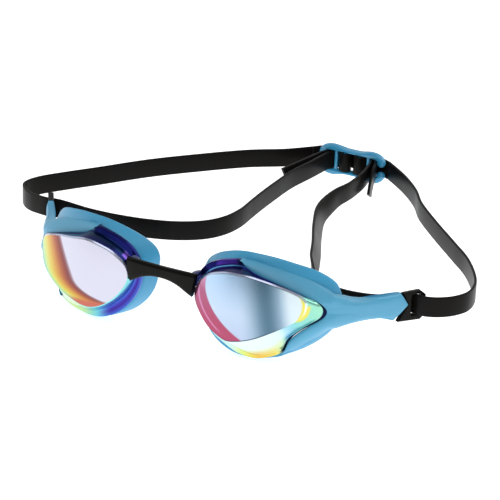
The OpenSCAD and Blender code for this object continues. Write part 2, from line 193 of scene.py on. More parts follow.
def curve_at(points, t, closed=False):
    """Catmull-Rom curve at stations t: the cubic blend of the four points around each station."""
    p = np.asarray(points, float)
    n = len(p)
    t = np.asarray(t, float)
    s = np.floor(t).astype(int)
    if not closed:
        s = np.clip(s, 0, n - 2)
    f = (t - s)[:, None]
    pick = (lambda i: p[i % n]) if closed else (lambda i: p[np.clip(i, 0, n - 1)])
    a, b, c, d = pick(s - 1), pick(s), pick(s + 1), pick(s + 2)
    return 0.5 * (2 * b + (c - a) * f + (2 * a - 5 * b + 4 * c - d) * f ** 2
                  + (3 * b - a - 3 * c + d) * f ** 3)


def loop_curve(points, steps):
    """A closed curve with equal steps between its points."""
    return curve_at(points, np.arange(len(points) * steps) / steps, closed=True)


def open_curve(points, steps, first=0, last=None):
    """An open curve from station first to station last."""
    last = len(points) - 1 if last is None else last
    return curve_at(points, np.linspace(first, last, int((last - first) * steps) + 1))


def towards(a, b, d):
    """The point a moved by d towards the point b."""
    return a + (b - a) * d / np.linalg.norm(b - a)


def smooth_step(a, b, x):
    """0 below a, 1 above b, and a smooth cubic between them."""
    t = np.clip((np.asarray(x, float) - a) / (b - a), 0, 1)
    return t * t * (3 - 2 * t)


def squared(v, power):
    """A wave v from -1 to 1 raised to a power with its sign kept, which squares up a round section."""
    return np.sign(v) * np.abs(v) ** power


def bump(x, middle, width):
    """Bell curve: e to the minus squared distance from the middle over the width."""
    return np.exp(-((x - middle) / width) ** 2)


def face_y(p):
    """Depth of the lens face: a bow across the eye, a slant to the temple and a slant up to the brow."""
    x, z = p[..., 0], p[..., 1]
    return -5.5 + 0.0168 * (x - 36) ** 2 + 0.114 * (x - 36) + 0.183 * (z - 2) + 0.002 * (z - 2) ** 2


def rim_y(p):
    """Depth of the lens rim: a parabola across the cup, a little lower under the eye."""
    u = (p[..., 0] - 37) / 20
    return 5.2 + 3.2 * u + 2.7 * u * u + 0.1 * np.minimum(p[..., 1], 0)


def seal_y(p):
    """Depth of the seal's widest outline: a parabola that follows the face of the wearer."""
    return 9.6 + 0.0148 * (p[..., 0] - 31) ** 2


def face_outline(side):
    """The outline of one lens face: the left one lies a little higher over the eye and at the nose below it,
    the right one lower outside."""
    p = np.array(FACE_OUTLINE, float)
    x, z = p.T
    if side == "left":
        rise = 1.1 * smooth_step(33, 40, x) * smooth_step(1, 5, z)
        rise += 2.8 * smooth_step(36, 25, x) * smooth_step(0, -6, z)
    else:
        rise = -2.2 * smooth_step(40, 57, x) * smooth_step(5.5, 2, z)
    return np.stack([x, z + rise], axis=1)


def rim_outline(side):
    """The outline of one lens rim: below the eye the left one lies a little higher towards the nose, the
    right one a little lower outside."""
    p = np.array(RIM_OUTLINE, float)
    x, z = p.T
    if side == "left":
        rise = 2.2 * smooth_step(40, 27, x) * smooth_step(0, -6, z)
    else:
        rise = -1.8 * smooth_step(42, 50, x) * smooth_step(0, -5, z)
    return np.stack([x, z + rise], axis=1)


def inset(p, d):
    """The outline moved d millimetres towards the middle of the cup."""
    v = p - np.array(CUP_MIDDLE)
    return p - v * d / np.linalg.norm(v, axis=1, keepdims=True)


def at_depth(p, y):
    """An outline in the front view, placed at depth y."""
    return np.stack([p[:, 0], np.broadcast_to(y, len(p)), p[:, 1]], axis=1)


def face_ring(outline, share):
    """The outline shrunk to a share about the middle of the face."""
    middle = np.array(FACE_MIDDLE)
    return middle + (outline - middle) * share


def between(a, b, count):
    """Rings evenly spread from ring a to ring b, without b itself."""
    return [a + (b - a) * s for s in np.arange(count) / count]


def rounded_rings(rings, passes):
    """A closed run of rings, each averaged with its neighbours, which rounds the corners of the profile."""
    for _ in range(passes):
        rings = 0.25 * np.roll(rings, 1, axis=0) + 0.5 * rings + 0.25 * np.roll(rings, -1, axis=0)
    return rings


def ring_faces(m, n, wrap):
    """Quads between m rings of n points; with wrap the last ring joins the first."""
    i = np.arange(m if wrap else m - 1)[:, None]
    j = np.arange(n)[None, :]
    q, k = (i + 1) % m, (j + 1) % n
    return np.stack([i * n + j, i * n + k, q * n + k, q * n + j], axis=-1).reshape(-1, 4)


def fan_faces(m, n):
    """Triangles that close the first and the last of m rings, each round a point added after the rings."""
    j = np.arange(n)
    k = (j + 1) % n
    last = (m - 1) * n
    first_fan = np.stack([np.full(n, m * n), k, j], axis=1)
    last_fan = np.stack([np.full(n, m * n + 1), last + j, last + k], axis=1)
    return np.vstack([first_fan, last_fan])


def signed_volume(verts, quads, tris):
    """Sum over the triangles of a . (b x c) / 6, positive when the faces point outwards."""
    t = np.vstack([quads[:, [0, 1, 2]], quads[:, [0, 2, 3]], tris])
    a, b, c = verts[t[:, 0]], verts[t[:, 1]], verts[t[:, 2]]
    return np.einsum("ij,ij->i", a, np.cross(b, c)).sum() / 6


def build_mesh(name, verts, quads, tris, crease=40):
    """A closed mesh from points in millimetres, with faces outwards and folds sharper than crease kept."""
    tris = np.asarray(tris, int).reshape(-1, 3)
    if signed_volume(verts, quads, tris) < 0:
        quads, tris = quads[:, ::-1], tris[:, ::-1]
    mesh = bpy.data.meshes.new(name)
    mesh.vertices.add(len(verts))
    mesh.vertices.foreach_set("co", (verts * MM).astype(np.float32).ravel())
    corners = np.concatenate([quads.ravel(), tris.ravel()])
    mesh.loops.add(len(corners))
    mesh.loops.foreach_set("vertex_index", corners.astype(np.int32))
    starts = np.concatenate([np.arange(len(quads)) * 4, len(quads) * 4 + np.arange(len(tris)) * 3])
    mesh.polygons.add(len(starts))
    mesh.polygons.foreach_set("loop_start", starts.astype(np.int32))
    mesh.polygons.foreach_set("use_smooth", np.ones(len(starts), bool))
    mesh.update(calc_edges=True)
    mesh.set_sharp_from_angle(angle=np.radians(crease))
    piece = bpy.data.objects.new(name, mesh)
    bpy.context.scene.collection.objects.link(piece)
    return piece


def ring_piece(name, rings, wrap=False, crease=40):
    """A piece through rings of equal length: a torus with wrap, or else closed by a fan at each end."""
    rings = np.asarray(rings, float)
    m, n = rings.shape[:2]
    verts = rings.reshape(-1, 3)
    tris = np.zeros((0, 3), int)
    if not wrap:
        verts = np.vstack([verts, rings[0].mean(axis=0), rings[-1].mean(axis=0)])
        tris = fan_faces(m, n)
    return build_mesh(name, verts, ring_faces(m, n, wrap), tris, crease)


def to_side(points, sign):
    """Points of the wearer's left side, or for the right side mirrored across the middle plane and tipped."""
    points = np.asarray(points, float) * np.array([sign, 1, 1])
    if sign > 0:
        return points
    y, z = points[..., 1] - TIP_AT[0], points[..., 2] - TIP_AT[1]
    c, s = np.cos(RIGHT_TIP), np.sin(RIGHT_TIP)
    return np.stack([points[..., 0], TIP_AT[0] + y * c - z * s, TIP_AT[1] + z * c + y * s], axis=-1)


def paint(piece, name, colours):
    """A colour for every point of the mesh, given as sRGB and stored linear."""
    srgb = np.clip(colours, 0, 1)
    linear = np.where(srgb <= 0.04045, srgb / 12.92, ((srgb + 0.055) / 1.055) ** 2.4)
    data = np.hstack([linear, np.ones((len(linear), 1))]).astype(np.float32)
    layer = piece.data.color_attributes.new(name, "FLOAT_COLOR", "POINT")
    layer.data.foreach_set("color", data.ravel())


def section(width, depth, radius, corner=5):
    """Closed outline of a bar's section: a rectangle whose corners are quarter circles of the radius."""
    turn = np.linspace(0, np.pi / 2, corner)
    quarter = np.stack([np.cos(turn), np.sin(turn)], axis=1) * radius
    spots = []
    for k, (sx, sy) in enumerate(((1, 1), (-1, 1), (-1, -1), (1, -1))):
        c, s = np.cos(k * np.pi / 2), np.sin(k * np.pi / 2)
        turned = quarter @ np.array([[c, s], [-s, c]])
        spots.append(turned + np.array([sx * (depth / 2 - radius), sy * (width / 2 - radius)]))
    return np.vstack(spots)


def upright_band(name, route, width, thick, lift=0.0, lean=0.0):
    """A flat band on edge, carried along a plan route, lifted and leaning by an angle: each section stands
    square to the route."""
    along = np.gradient(route, axis=0)
    along /= np.linalg.norm(along, axis=1, keepdims=True)
    square = np.stack([along[:, 1], -along[:, 0]], axis=1)
    profile = section(width, thick, thick * 0.35)
    lift, lean = (np.broadcast_to(v, len(route))[:, None, None] for v in (lift, lean))
    out, up = profile[None, :, :1], profile[None, :, 1:]
    xy = route[:, None, :] + square[:, None, :] * (out * np.cos(lean) + up * np.sin(lean))
    z = lift + STRAP_Z + up * np.cos(lean) - out * np.sin(lean)
    return ring_piece(name, np.concatenate([xy, z], axis=2), crease=BAND_CREASE)


def tail_band(name, ends, bend, slope, width, thick):
    """A free tail: a flat band that starts upright, bends down in its own plane by the bend in degrees, and
    ends in a cut that slopes back towards its lower edge."""
    near, far = np.array(ends)
    length = np.linalg.norm(far - near)
    ahead = (far - near) / length
    t = np.linspace(0, 1, 60)
    turn = np.radians(max(bend, 0.01))
    down = turn * t
    centre = near + ahead * (length * np.sin(down) / turn)[:, None]
    drop = length * (1 - np.cos(down)) / turn
    profile = section(width, thick, thick * 0.35)
    up = profile[None, :, 1:]
    reach = up * np.sin(down)[:, None, None] + slope * (up - width / 2) * (t ** 2)[:, None, None]
    square = np.array([ahead[1], -ahead[0]])
    xy = centre[:, None, :] + ahead * reach + square * profile[None, :, :1]
    z = STRAP_Z - drop[:, None, None] + up * np.cos(down)[:, None, None]
    return ring_piece(name, np.concatenate([xy, z], axis=2), crease=BAND_CREASE)


def swept_tube(name, path, wide, deep, square_to=(0, 1, 0), power=2.4, points=32):
    """A rounded bar carried along a path: its section is a superellipse of the given power, deep along
    square_to and wide across it."""
    along = np.gradient(path, axis=0)
    along /= np.linalg.norm(along, axis=1, keepdims=True)
    deep_way = np.broadcast_to(np.array(square_to, float), path.shape)
    wide_way = np.cross(along, deep_way)
    wide_way = wide_way / np.linalg.norm(wide_way, axis=1, keepdims=True)
    a = np.linspace(0, 2 * np.pi, points, endpoint=False)
    u, v = squared(np.cos(a), 2 / power), squared(np.sin(a), 2 / power)
    wide = np.broadcast_to(wide, len(path))[:, None, None]
    deep = np.broadcast_to(deep, len(path))[:, None, None]
    rings = path[:, None, :] + wide_way[:, None, :] * wide * u[None, :, None]
    rings = rings + deep_way[:, None, :] * deep * v[None, :, None]
    return ring_piece(name, rings, crease=BAND_CREASE)


# ---- Materials ----

def plain_material(name, colour, roughness, specular=0.5, coat=0.0, metallic=0.0):
    """One finish: a principled surface with a plain colour."""
    material = bpy.data.materials.new(name)
    material.use_nodes = True
    surface = material.node_tree.nodes["Principled BSDF"]
    surface.inputs["Base Color"].default_value = (*colour, 1)
    surface.inputs["Roughness"].default_value = roughness
    surface.inputs["Specular IOR Level"].default_value = specular
    surface.inputs["Coat Weight"].default_value = coat
    surface.inputs["Coat Roughness"].default_value = 0.06
    surface.inputs["Metallic"].default_value = metallic
    return material


def grain(material, scale, depth):
    """A fine moulded grain: noise on the object's own coordinates, as a slight bump."""
    nodes, links = material.node_tree.nodes, material.node_tree.links
    place = nodes.new("ShaderNodeTexCoord")
    noise = nodes.new("ShaderNodeTexNoise")
    noise.inputs["Scale"].default_value = scale
    noise.inputs["Detail"].default_value = 2.0
    raised = nodes.new("ShaderNodeBump")
    raised.inputs["Strength"].default_value = depth
    raised.inputs["Distance"].default_value = 0.0001
    links.new(place.outputs["Object"], noise.inputs["Vector"])
    links.new(noise.outputs["Fac"], raised.inputs["Height"])
    links.new(raised.outputs["Normal"], nodes["Principled BSDF"].inputs["Normal"])
    return material


def coated_material(name):
    """The mirror coating: its colour comes from the tint painted on the lens, which also holds a painted
    reflection and painted highlights, under a clear gloss.
    """
    material = plain_material(name, (0.5, 0.5, 0.5), 0.2, 0.3, 0.0, 0.8)
    tint = material.node_tree.nodes.new("ShaderNodeVertexColor")
    tint.layer_name = "coating"
    surface = material.node_tree.nodes["Principled BSDF"]
    material.node_tree.links.new(tint.outputs["Color"], surface.inputs["Base Color"])
    return material


# ---- Lens coating, with a painted reflection and painted highlights ----

def lay(base, tint, share):
    """The tint laid over the base by a share from 0 to 1."""
    share = np.clip(share, 0, 1)[..., None]
    return base * (1 - share) + np.asarray(tint, float) * share


def plain(x, colour):
    """One colour for every point."""
    return np.zeros(x.shape + (3,)) + colour


def rim_line(x, z, rim):
    """Share of a dark line on the rim, over the brow and round the temple."""
    return smooth_step(0.3, 0.5, rim) * smooth_step(29, 33, x) * np.maximum(
        smooth_step(0, 2, z), smooth_step(49, 51, x))


def ramp(x, stops):
    """A run of colours over x, straight between (x, colour) stops."""
    at = [s[0] for s in stops]
    return np.stack([np.interp(x, at, [s[1][k] for s in stops]) for k in range(3)], axis=-1)


def left_face_tint(x, z):
    """Pale blue with a dark upright band that is a painted reflection, a rose band along the nose edge and
    gold at the temple tip.
    """
    tint = ramp(z, ((-10, (0.68, 0.74, 0.84)), (0, (0.73, 0.80, 0.89)), (14, (0.66, 0.78, 0.90))))
    # Painted reflection of something dark: a dark upright band on the face, and the face darkening towards it
    # from the nose side
    band = 48.0 - 0.22 * z
    width = np.where(x < band, 4.6, 4.2)
    tint = lay(tint, (0.60, 0.70, 0.78), 0.7 * smooth_step(-11, -3, x - band))
    tint = lay(tint, (0.33, 0.45, 0.53), bump(x, band, width))
    tint = lay(tint, (0.80, 0.86, 0.89), smooth_step(3.5, 8.5, x - band))
    tip = 58.5 - 0.055 * (z - 3.6) ** 2
    tint = lay(tint, (0.86, 0.82, 0.36), smooth_step(-0.5, 0.1, x - tip))
    # The rose band's edge stands upright over the eye and sweeps out below it, as a power of the drop
    edge = 20.8 + 0.15 * np.maximum(7.5 - z, 0) ** 1.7
    tint = lay(tint, ramp(z, ((-6, (0.66, 0.31, 0.42)), (5, (0.64, 0.36, 0.48)), (11, (0.76, 0.60, 0.72)))),
               smooth_step(-0.2, 0.5, edge - x))
    line = 17.2 + 0.07 * np.maximum(5.5 - z, 0) ** 2
    line = 0.8 * bump(x, line, 0.5) * smooth_step(7, 5, z) * smooth_step(-9, -7, z)
    return lay(tint, (0.84, 0.62, 0.80), line)


def right_face_tint(x, z):
    """White lilac, and along the temple and lower edge a run from brown through orange and gold to green."""
    # The run's edge slants in a straight line and curls under the eye as a parabola
    edge = 38.3 + 0.62 * z - 0.21 * np.maximum(-3 - z, 0) ** 2
    away = (x - edge) / 15
    run = ramp(away, (
        (0.0, (0.77, 0.76, 0.82)), (0.06, (0.60, 0.50, 0.54)), (0.16, (0.50, 0.30, 0.30)),
        (0.34, (0.62, 0.36, 0.29)), (0.55, (0.74, 0.52, 0.30)), (0.80, (0.80, 0.68, 0.32)),
        (1.0, (0.80, 0.78, 0.40)), (1.2, (0.70, 0.82, 0.56)), (1.4, (0.50, 0.74, 0.76))))
    tint = lay(plain(x, (0.79, 0.79, 0.855)), run, smooth_step(-0.01, 0.03, away))
    low = smooth_step(-9.4, -11.2, z) * smooth_step(18, 23, x) * smooth_step(42, 33, x)
    return lay(tint, (0.74, 0.42, 0.36), low)


def left_wall_tint(x, z, q, rim):
    """Navy over the eye with a violet patch and a painted highlight along the crease; pale green to amber on
    the facet below.
    """
    navy = lay(plain(x, (0.03, 0.05, 0.34)), (0.02, 0.17, 0.38), bump(q, 0.5, 0.3) * 0.4)
    patch = smooth_step(21, 23, x) * smooth_step(32, 31, x) * smooth_step(1.2, 1.35, q)
    navy = lay(navy, (0.32, 0.20, 0.66), 0.9 * patch)
    # Painted highlight: a light line along the crease where the wall meets the ledge, which catches the light
    navy = lay(navy, (0.42, 0.70, 0.88), 0.85 * bump(q, 1.02, 0.06) * smooth_step(36, 30, x))
    low = ramp(x, (
        (16, (0.55, 0.78, 0.88)), (26, (0.74, 0.88, 0.88)), (31, (0.80, 0.92, 0.85)),
        (35.5, (0.84, 0.89, 0.50)), (42, (0.88, 0.72, 0.32)), (48, (0.88, 0.80, 0.38)),
        (50.5, (0.80, 0.88, 0.66)), (52.5, (0.42, 0.70, 0.84)), (56, (0.50, 0.80, 0.78)),
        (62, (0.58, 0.83, 0.73))))
    pale = smooth_step(1.1, 0.6, q) * smooth_step(20, 28, x) * smooth_step(57, 50, x)
    low = lay(low, (0.84, 0.92, 0.92), pale)
    up = smooth_step(1.8, 3.2, z) * smooth_step(58.5, 55.5, x)
    up = np.maximum(up, smooth_step(-4, 1, z) * smooth_step(20, 16, x))
    tint = lay(low, navy, up)
    tip = smooth_step(56, 57.5, x) * smooth_step(-2.5, -1, z) * smooth_step(5, 3.5, z)
    tint = lay(tint, (0.86, 0.82, 0.38), tip * smooth_step(0.35, 0.2, q))
    tint = lay(tint, (0.02, 0.06, 0.22), rim_line(x, z, rim))
    lower_edge = smooth_step(0.018, 0.008, q) * smooth_step(-3, -5, z) * smooth_step(24, 27, x)
    return lay(tint, (0.10, 0.12, 0.28), lower_edge)


def right_wall_tint(x, z, q, rim):
    """Navy and teal over the eye, cyan to violet on the nose side, and green to straw under it."""
    navy = lay(plain(x, (0.05, 0.07, 0.36)), (0.02, 0.15, 0.30), bump(q, 0.7, 0.4))
    patch = smooth_step(14.2, 14.8, x) * smooth_step(19, 18.4, x)
    patch = patch * smooth_step(0.35, 0.5, q) * smooth_step(1.2, 1.0, q)
    navy = lay(navy, (0.50, 0.36, 0.78), 0.9 * patch)
    nose = ramp(q, (
        (0.0, (0.52, 0.84, 0.84)), (0.5, (0.38, 0.74, 0.86)), (0.85, (0.28, 0.55, 0.84)),
        (1.1, (0.26, 0.30, 0.70)), (1.5, (0.25, 0.14, 0.55)), (2.0, (0.25, 0.40, 0.75))))
    low = ramp(x, (
        (24, (0.42, 0.74, 0.87)), (31, (0.46, 0.78, 0.84)), (37, (0.70, 0.84, 0.66)),
        (45, (0.80, 0.86, 0.56)), (53, (0.60, 0.84, 0.78)), (62, (0.52, 0.80, 0.84))))
    tint = lay(nose, low, smooth_step(24, 32, x) * smooth_step(2, -2, z))
    up = np.maximum(smooth_step(2, 3.5, z), smooth_step(36, 44, x) * smooth_step(-1, 1, z))
    tint = lay(tint, navy, up)
    return lay(tint, (0.03, 0.06, 0.28), rim_line(x, z, rim))


# ---- Pieces ----

def lens_rings(steps, side):
    """Rings of one lens from the middle of its face, over the edge, down the wall, across the ledge, round
    the rim and back up the inside. Also, for every ring: its part (0 face, 1 wall and ledge, 2 inside) and
    how far it is down the wall (0 to 1) and across the ledge (1 to 2)."""
    outline = face_outline(side)
    face = loop_curve(outline, steps)
    rim = loop_curve(rim_outline(side), steps)
    share = np.array(LEDGE_SHARE)[:, None]
    ledge_points = outline * (1 - share) + rim_outline(side) * share
    ledge = loop_curve(ledge_points, steps)
    rings, part, along = [], [], []

    def add(new, kind, a, b):
        rings.extend(new)
        part.extend([kind] * len(new))
        along.extend(np.linspace(a, b, len(new)))

    def face_part(outline, shares, behind):
        return [at_depth(ring, face_y(ring) + behind) for ring in (face_ring(outline, s) for s in shares)]

    add(face_part(inset(face, FACE_EDGE), np.linspace(0.02, 1, 44), 0), 0, 0, 0)
    edge = ((0.52, 0.03), (0.42, 0.10), (0.12, 0.42), (0.03, 0.52), (0.0, 0.64))
    add([at_depth(inset(face, d), face_y(inset(face, d)) + y) for d, y in edge], 1, 0, 0.02)
    top = at_depth(face, face_y(face) + 0.66)
    foot = at_depth(ledge, rim_y(ledge) - LEDGE_FRONT)
    add(between(top, foot, 14), 1, 0.03, 0.97)
    add([at_depth(inset(ledge, -0.06), rim_y(ledge) - 1.05)], 1, 1, 1)
    start = at_depth(inset(ledge, -0.3), rim_y(ledge) - 0.8)
    brink = inset(rim, 0.3)
    end = at_depth(brink, rim_y(rim) - 0.3)
    add(between(start, end, 12), 1, 1.02, 1.9)
    edge = ((0.30, -0.3), (0.12, -0.22), (0.03, -0.08), (0.0, 0.12), (0.0, 1.4), (0.1, 1.5))
    add([at_depth(inset(rim, d), rim_y(rim) + y) for d, y in edge], 1, 1.9, 2)
    inner = inset(rim, 2.2)
    add([at_depth(inner, rim_y(rim) + LENS_WALL)], 2, 0, 0)
    step = at_depth(inset(ledge, LENS_WALL), rim_y(ledge) + 0.7)
    deep = inset(face, LENS_WALL)
    add(between(step, at_depth(deep, face_y(deep) + 2.1), 6), 2, 0, 0)
    add(face_part(deep, np.linspace(0.97, 0.02, 16), LENS_WALL), 2, 0, 0)
    return np.array(rings), np.array(part), np.array(along)


def make_lens(side, sign):
    """One lens with its coating, whose painted tint also holds a painted reflection and painted highlights.
    """
    rings, part, along = lens_rings(12, side)
    placed = to_side(rings, sign)
    piece = ring_piece(side + "_mirror_lens", placed, crease=28)
    x, z = np.abs(placed[..., 0]), placed[..., 2]
    q = np.broadcast_to(along[:, None], x.shape)
    face_tint, wall_tint = {
        "left": (left_face_tint, left_wall_tint), "right": (right_face_tint, right_wall_tint)}[side]
    tint = face_tint(x, z)
    wall = wall_tint(x, z, q, q - 1)
    inside = plain(x, (0.10, 0.13, 0.20))
    kind = part[:, None, None]
    tint = np.where(kind == 0, tint, np.where(kind == 1, wall, inside))
    # Painted highlight: a near-white line on the face's bevelled edge, on its upper part only, where the
    # light from above falls
    edge_highlight = 0.75 * (kind[..., 0] == 1) * smooth_step(0.02, 0.008, q) * smooth_step(-1, 3, z)
    tint = lay(tint, (0.93, 0.96, 0.98), edge_highlight)
    flat = tint.reshape(-1, 3)
    paint(piece, "coating", np.vstack([flat, tint[0].mean(axis=0), tint[-1].mean(axis=0)]))
    return piece


def gasket_rings(steps):
    """Rings round the gasket's section: the seat behind the lens, the flared wall, the rolled seal and the
    inside, each span cut fine and then averaged so that the corners are soft. Where the fork covers it, the
    front edge is drawn in and back."""
    front = loop_curve(HOLDER_OUTLINE, steps)
    seal = loop_curve(SEAL_OUTLINE, steps)
    share = np.clip(0.6 - (front[:, :1] - 26) * 0.02, 0.2, 0.6)
    middle = front * (1 - share) + seal * share
    seat = rim_y(front) + 1.65
    hidden = np.where(front[:, 1] > 0, smooth_step(28, 36, front[:, 0]), smooth_step(48, 54, front[:, 0]))
    corners = [
        at_depth(inset(front, 3.2), seat),
        at_depth(inset(front, 0.2 + HIDE_IN * hidden[:, None]), seat + HIDE_BACK * hidden),
        at_depth(middle, (seat - 0.15) * 0.4 + seal_y(seal) * 0.6),
        at_depth(seal, seal_y(seal)),
        at_depth(inset(seal, 0.8), seal_y(seal) + 1.2),
        at_depth(inset(seal, 2.2), seal_y(seal) + 1.6),
        at_depth(inset(seal, SEAL_WIDTH), seal_y(seal) + 1.28),
        at_depth(inset(seal, SEAL_WIDTH), seal_y(seal) - 0.4),
        at_depth(inset(seal, 2.6), seal_y(seal) - 0.6)]
    rings = []
    for a, b in zip(corners, corners[1:] + corners[:1]):
        rings.extend(between(a, b, 7))
    return rounded_rings(np.array(rings), 5)


def make_gasket(side, sign):
    """One soft gasket."""
    return ring_piece(side + "_soft_gasket", to_side(gasket_rings(8), sign), wrap=True, crease=50)


def slot_place(along, up, out):
    """A point given along the clip, up, and out from its middle plane, in the goggles' own frame."""
    c, s = np.cos(CLIP_TURN), np.sin(CLIP_TURN)
    x = SLOT[0] + along * c + out * s
    y = SLOT[1] + along * s - out * c
    return np.stack([x, y, np.broadcast_to(SLOT[2] + up, x.shape)], axis=-1)


def frame_edges(side):
    """The frame's inner edge on the lens rim and its outer edge over the fork, along the arm, down its V end
    and back under the fork, point for point. The third value is the arm's outer line with its heights."""
    line = np.array(ARM_LINE)
    way = np.gradient(line[:, :2], axis=0)
    way /= np.linalg.norm(way, axis=1, keepdims=True)
    out = line[:, :2] + np.stack([way[:, 1], -way[:, 0]], axis=1) * ARM_THICK / 2
    v_top, v_apex, v_low = (
        slot_place(np.array(a), np.array(u), np.array(ARM_THICK / 2)) for a, u in (V_TOP, V_APEX, V_LOW))
    over = np.vstack([FORK_OVER, np.column_stack([out[1:5], line[1:5, 2]]), v_top])
    fork_under = np.array(FORK_UNDER)
    if side == "right":
        fork_under[:, 2] += RIGHT_FORK_RISE * smooth_step(61, 53, fork_under[:, 0])
    under = np.vstack([v_low, np.column_stack([out[4:0:-1], line[4:0:-1, 3]]), fork_under])
    # Stations along the upper edge, whose fork ends at 5, and along the lower edge, whose arm ends at 5
    first, second = np.linspace(0, 10, 171), np.linspace(0, 9, 161)
    outer = np.vstack([
        curve_at(over, first), *(v_top + (v_apex - v_top) * t for t in np.linspace(0, 1, 26)[1:]),
        *(v_apex + (v_low - v_apex) * t for t in np.linspace(0, 1, 36)[1:]), curve_at(under, second)[1:]])
    reach = np.clip((first - 5) / 5, 0, 1)
    along_over = np.where(first < 5, first, 5 + 1.6 * (1 - (1 - reach) ** 3.1))
    reach = np.clip(1 - second / 5, 0, 1)
    along_under = np.where(second > 5, 8 + (second - 5), 8 - 0.8 * (1 - (1 - reach) ** 6.25))
    station = np.concatenate([
        along_over, 6.6 + 0.3 * np.linspace(0, 1, 26)[1:], 6.9 + 0.3 * np.linspace(0, 1, 36)[1:],
        along_under[1:]])
    rim = curve_at(rim_outline(side), FORK_FIRST + station, closed=True)
    rim = inset(rim, -GAP)
    inner = at_depth(rim, rim_y(rim) - 0.4)
    return inner, outer, np.column_stack([out, line[:, 2:]])


def frame_rings(across, side):
    """Sections of the frame. A section runs from the inner edge to the outer edge along straight lines in the
    front view; its depth follows the lens rim in the fork and the arm's own line behind it. Each section is a
    flat oval: the outer skin is crowned, and the inner skin lies one thickness behind it."""
    inner, outer, arm = frame_edges(side)
    turn = np.linspace(0, 2 * np.pi, across, endpoint=False)
    v = 0.5 * (1 - np.cos(turn))[None, :, None]
    rise = np.sin(turn)
    depth = 0.5 - 0.5 * squared(rise, 0.25)
    skin = inner[:, None, :] * (1 - v) + outer[:, None, :] * v
    x, z = skin[..., 0], skin[..., 2]
    fine = curve_at(arm, np.linspace(0, len(arm) - 1, 121))
    on_arm = smooth_step(ARM_START, ARM_FULL, x)
    arm_y = np.interp(x, fine[:, 0], fine[:, 1])
    follow = on_arm * smooth_step(0, 0.3, v[..., 0])
    skin[..., 1] = skin[..., 1] * (1 - follow) + arm_y * follow
    top, low = (np.interp(x, fine[:, 0], fine[:, k]) for k in (2, 3))
    height = np.clip((z - (top + low) / 2) / ((top - low) / 2), -1, 1)
    under = smooth_step(3, -3, z)
    crown = (0.9 + 1.2 * under) * 4 * v[..., 0] * (1 - v[..., 0]) * (1 - on_arm)
    crown += (0.7 + 1.3 * bump(x, 70, 5)) * (1 - height ** 4) * follow
    lean = smooth_step(56, 72, x)[..., None]
    inward = np.array([0, 1.0, 0]) * (1 - lean) + np.array([-0.87, 0.49, 0]) * lean
    inward /= np.linalg.norm(inward, axis=2, keepdims=True)
    thick = FORK_THICK + (ARM_THICK - FORK_THICK) * on_arm
    return skin + inward * (thick * depth[None, :] - crown * (1 - depth[None, :]))[..., None]


def make_frame(side, sign):
    """One fork and temple arm in one piece."""
    return ring_piece(side + "_temple_frame", to_side(frame_rings(44, side), sign), crease=50)


def ray_reach(outline, turn):
    """How far from the middle a ray at each angle meets the outline: the nearest crossing of each side's line
    that lies on that side."""
    p = np.array(outline, float)
    q = np.roll(p, -1, axis=0)
    d = np.stack([np.cos(turn), np.sin(turn)], axis=1)[:, None, :]
    e = (q - p)[None]
    cross = d[..., 0] * e[..., 1] - d[..., 1] * e[..., 0]
    cross = np.where(np.abs(cross) < 1e-9, 1e-9, cross)
    reach = (p[None, :, 0] * e[..., 1] - p[None, :, 1] * e[..., 0]) / cross
    share = (p[None, :, 0] * d[..., 1] - p[None, :, 1] * d[..., 0]) / cross
    hit = (reach > 0) & (share > -1e-6) & (share < 1 + 1e-6)
    return np.where(hit, reach, np.inf).min(axis=1)


def clip_rings():
    """Rings round the clip's section: out along the front from the slot to the outline, over a small bevel,
    and back along the rear. Each ring mixes the slot's reach and the outline's reach at every angle."""
    corners = np.array(CLIP_OUTLINE + SLOT_OUTLINE)
    turn = np.sort(np.concatenate([
        np.linspace(-np.pi, np.pi, 220, endpoint=False), np.arctan2(corners[:, 1], corners[:, 0])]))
    slot = ray_reach(SLOT_OUTLINE, turn)
    edge = ray_reach(CLIP_OUTLINE, turn)
    half = CLIP_THICK / 2
    steps = (
        (0.0, half - 0.3), (0.03, half - 0.1), (0.12, half), (0.5, half), (0.80, half), (0.93, half - 0.1),
        (1.0, half - 0.35), (1.0, 0.35 - half), (0.93, 0.1 - half), (0.80, -half), (0.5, -half),
        (0.12, -half), (0.03, 0.1 - half), (0.0, 0.3 - half))
    rings = []
    for share, out in steps:
        reach = slot + (edge - slot) * share
        rings.append(slot_place(reach * np.cos(turn), reach * np.sin(turn), np.full(len(turn), out)))
    return np.array(rings)


def make_clip(side, sign):
    """One strap clip."""
    return ring_piece(side + "_slotted_clip", to_side(clip_rings(), sign), wrap=True, crease=30)


def make_lug(side, sign):
    """The small moulded lug on the lens above the bridge: an ellipsoid with squared sides."""
    lat = np.linspace(-np.pi / 2, np.pi / 2, 26)[1:-1, None]
    lon = np.linspace(0, 2 * np.pi, 40, endpoint=False)[None, :]
    ring = squared(np.cos(lat), LUG_SQUARE)
    x = LUG_MIDDLE[0] + LUG_HALF[0] * ring * squared(np.cos(lon), LUG_SQUARE)
    y = LUG_MIDDLE[1] + LUG_HALF[1] * ring * squared(np.sin(lon), LUG_SQUARE)
    z = LUG_MIDDLE[2] + LUG_HALF[2] * squared(np.sin(lat), LUG_SQUARE) + LUG_TILT * (x - LUG_MIDDLE[0])
    return ring_piece(side + "_bridge_lug", to_side(np.stack([x, y, z], axis=-1), sign))


